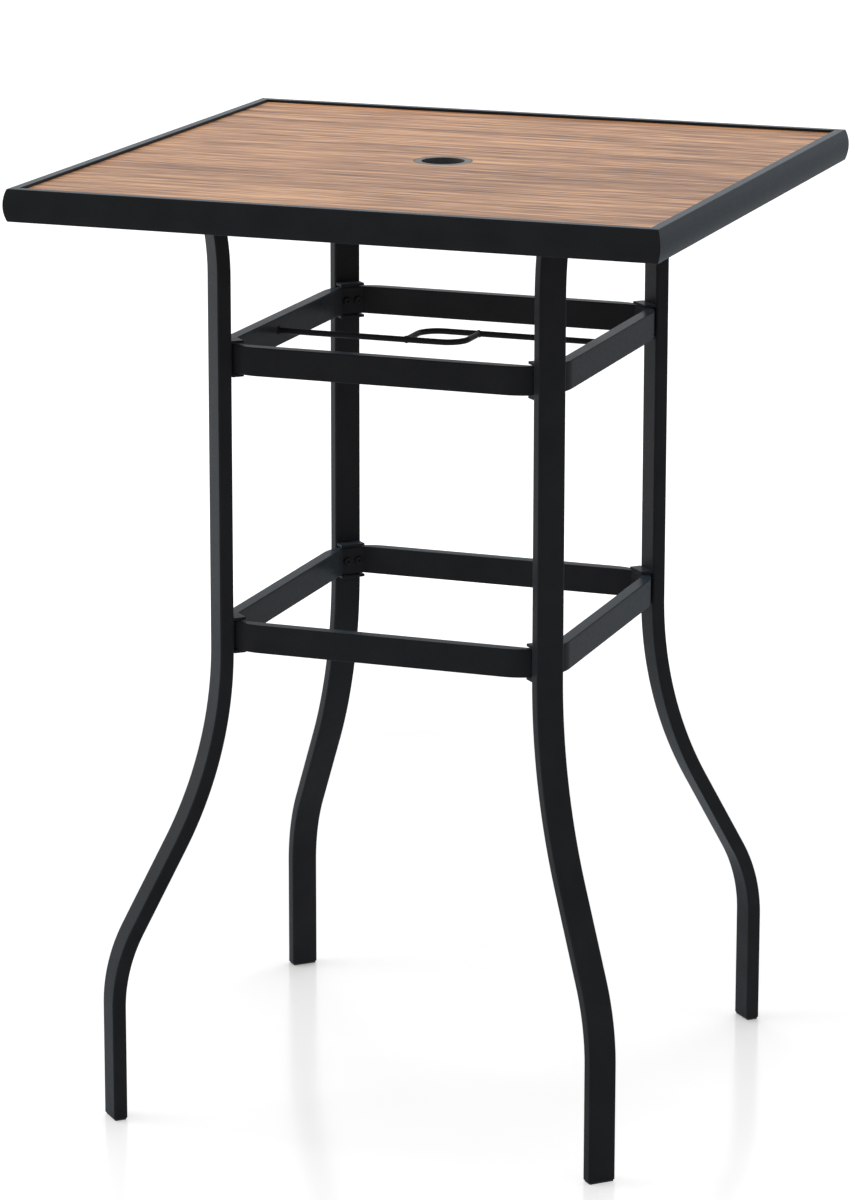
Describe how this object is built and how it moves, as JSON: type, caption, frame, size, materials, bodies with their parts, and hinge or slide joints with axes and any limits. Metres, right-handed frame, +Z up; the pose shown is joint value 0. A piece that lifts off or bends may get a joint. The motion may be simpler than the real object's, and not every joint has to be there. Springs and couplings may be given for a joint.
{
  "type": "pub table",
  "caption": "Tall square outdoor pub table: wood-grain top in a black frame on bent tube legs with stretcher rings, a pole hole and a rod loop for an umbrella.",
  "frame": {"origin": "on the floor under the middle of the table", "axes": "+Z up, -Y to the front of the picture, +X along the front edge to the right"},
  "size_m": [0.7, 0.7, 1.015],
  "materials": {
    "black_powder_coat": "satin powder coat with a fine grain",
    "walnut_panel": "satin walnut wood-grain laminate",
    "black_plastic": "matte moulded",
    "black_screws": "black oxide",
    "zinc_steel": "zinc plated",
    "cast_aluminium": "as cast"
  },
  "bodies": {
    "root": {"top_panel": "walnut_panel", "umbrella_liner": "black_plastic", "right_frame_rail": "black_powder_coat", "back_frame_rail": "black_powder_coat", "left_frame_rail": "black_powder_coat", "front_frame_rail": "black_powder_coat", "back_right_corner_key": "cast_aluminium", "back_left_corner_key": "cast_aluminium", "front_left_corner_key": "cast_aluminium", "front_right_corner_key": "cast_aluminium", "panel_screws": "black_screws", "left_cross_bar": "black_powder_coat", "right_cross_bar": "black_powder_coat", "back_right_leg": "black_powder_coat", "back_right_foot_plug": "black_plastic", "back_right_lower_bracket": "black_powder_coat", "back_right_upper_bracket": "black_powder_coat", "back_right_leg_plate": "black_powder_coat", "back_left_leg": "black_powder_coat", "back_left_foot_plug": "black_plastic", "back_left_lower_bracket": "black_powder_coat", "back_left_upper_bracket": "black_powder_coat", "back_left_leg_plate": "black_powder_coat", "front_left_leg": "black_powder_coat", "front_left_foot_plug": "black_plastic", "front_left_lower_bracket": "black_powder_coat", "front_left_upper_bracket": "black_powder_coat", "front_left_leg_plate": "black_powder_coat", "front_right_leg": "black_powder_coat", "front_right_foot_plug": "black_plastic", "front_right_lower_bracket": "black_powder_coat", "front_right_upper_bracket": "black_powder_coat", "front_right_leg_plate": "black_powder_coat", "leg_plate_bolts": "black_screws", "leg_plate_inserts": "zinc_steel", "lower_ring": "black_powder_coat", "lower_ring_screws": "black_screws", "lower_ring_inserts": "zinc_steel", "upper_ring": "black_powder_coat", "upper_ring_screws": "black_screws", "upper_ring_inserts": "zinc_steel", "left_umbrella_rod": "black_powder_coat", "right_umbrella_rod": "black_powder_coat"}
  },
  "joints": []
}
